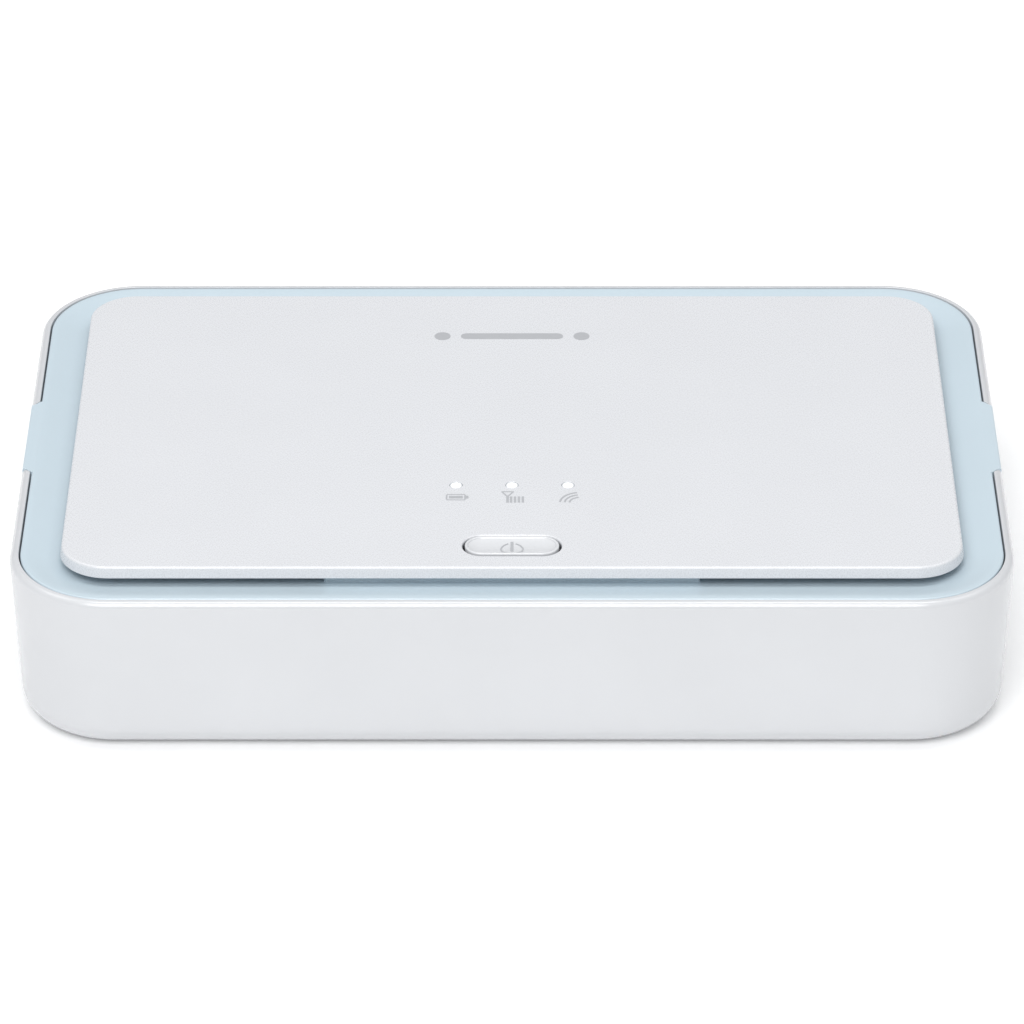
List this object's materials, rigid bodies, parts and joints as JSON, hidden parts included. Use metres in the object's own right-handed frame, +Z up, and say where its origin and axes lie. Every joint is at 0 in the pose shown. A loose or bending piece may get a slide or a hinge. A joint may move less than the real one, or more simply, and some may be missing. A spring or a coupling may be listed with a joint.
{
  "type": "mobile hotspot",
  "caption": "Pocket wireless router: a white clip-on cover around a pale blue housing with a floating top plate, power button, status lights, removable battery and SIM socket.",
  "frame": {"origin": "middle of the cover's flat underside, on the surface that the device rests on", "axes": "+X along the long side towards the reset hole, +Y away from the power button's edge, +Z up out of the top plate"},
  "size_m": [0.1, 0.0668, 0.0187],
  "materials": {
    "cover_white": "satin white moulded plastic with a very fine sparkle grain",
    "border_blue": "satin pale blue moulded plastic",
    "inner_white": "plain moulded inner white plastic",
    "button_gloss": "gloss white plastic",
    "light_clear": "clear light pipe, frosted at its ends",
    "board_green": "green solder mask",
    "shield_metal": "tinned sheet metal",
    "part_black": "black moulded plastic",
    "contact_gold": "gold-plated contact metal",
    "screw_steel": "zinc-plated steel",
    "battery_wrap": "dark printed wrap",
    "paper_white": "white label or card stock",
    "tape_grey": "grey tape and ferrite",
    "plastic_cream": "cream plastic",
    "print_grey": "light grey pad-printed signs on the top plate and the power button"
  },
  "bodies": {
    "cover": {"back_cover": "cover_white"},
    "device": {"upper_housing": "border_blue", "lower_housing": "inner_white", "top_plate": "cover_white", "plate_tape": "tape_grey", "bay_label": "paper_white", "power_switch_base": "part_black", "reset_switch_base": "part_black", "light_guide": "light_clear", "status_led_1": "plastic_cream", "status_led_2": "plastic_cream", "status_led_3": "plastic_cream", "main_board": "board_green", "baseband_shield": "shield_metal", "radio_shield": "shield_metal", "baseband_chip": "part_black", "memory_chip": "part_black", "power_chip": "part_black", "radio_chip": "part_black", "amplifier_chip": "part_black", "wifi_chip": "part_black", "charge_inductor": "tape_grey", "clock_crystal": "shield_metal", "usb_shell": "shield_metal", "usb_tongue": "part_black", "sim_socket_shell": "shield_metal", "sim_socket_base": "part_black", "battery_connector": "part_black", "battery_contact_1": "contact_gold", "battery_contact_2": "contact_gold", "battery_contact_3": "contact_gold", "main_antenna": "contact_gold", "second_antenna": "contact_gold", "wifi_antenna": "contact_gold", "antenna_clip_1": "contact_gold", "antenna_clip_2": "contact_gold", "antenna_clip_3": "contact_gold", "housing_screw_1": "screw_steel", "housing_screw_2": "screw_steel", "housing_screw_3": "screw_steel", "housing_screw_4": "screw_steel"},
    "power_button": {"power_button": "button_gloss"},
    "power_switch_plunger": {"power_switch_plunger": "plastic_cream"},
    "reset_plunger": {"reset_switch_plunger": "plastic_cream"},
    "sim_card": {"sim_card": "paper_white"},
    "battery": {"battery_cell": "battery_wrap", "battery_end_cap": "part_black", "battery_terminal_1": "contact_gold", "battery_terminal_2": "contact_gold", "battery_terminal_3": "contact_gold"}
  },
  "joints": [
    {"name": "device_lift", "type": "slide", "parent": "cover", "child": "device", "axis": [0, 0, 1], "range_m": [0, 0.04]},
    {"name": "battery_drop", "type": "slide", "parent": "device", "child": "battery", "axis": [0, 0, -1], "range_m": [0, 0.014]},
    {"name": "sim_slide", "type": "slide", "parent": "device", "child": "sim_card", "axis": [0, -1, 0], "range_m": [0, 0.02]},
    {"name": "power_button_press", "type": "slide", "parent": "device", "child": "power_button", "axis": [0, 0, -1], "range_m": [0, 0.0003], "stiffness_N_per_m": 8000},
    {"name": "power_switch_press", "type": "slide", "parent": "device", "child": "power_switch_plunger", "axis": [0, 0, -1], "range_m": [0, 0.0003]},
    {"name": "reset_press", "type": "slide", "parent": "device", "child": "reset_plunger", "axis": [-1, 0, 0], "range_m": [0, 0.00025], "stiffness_N_per_m": 8000}
  ],
  "couplings": [
    {"joint": "battery_drop", "follows": "device_lift", "ratio": 0.35},
    {"joint": "power_switch_press", "follows": "power_button_press", "ratio": 1}
  ]
}
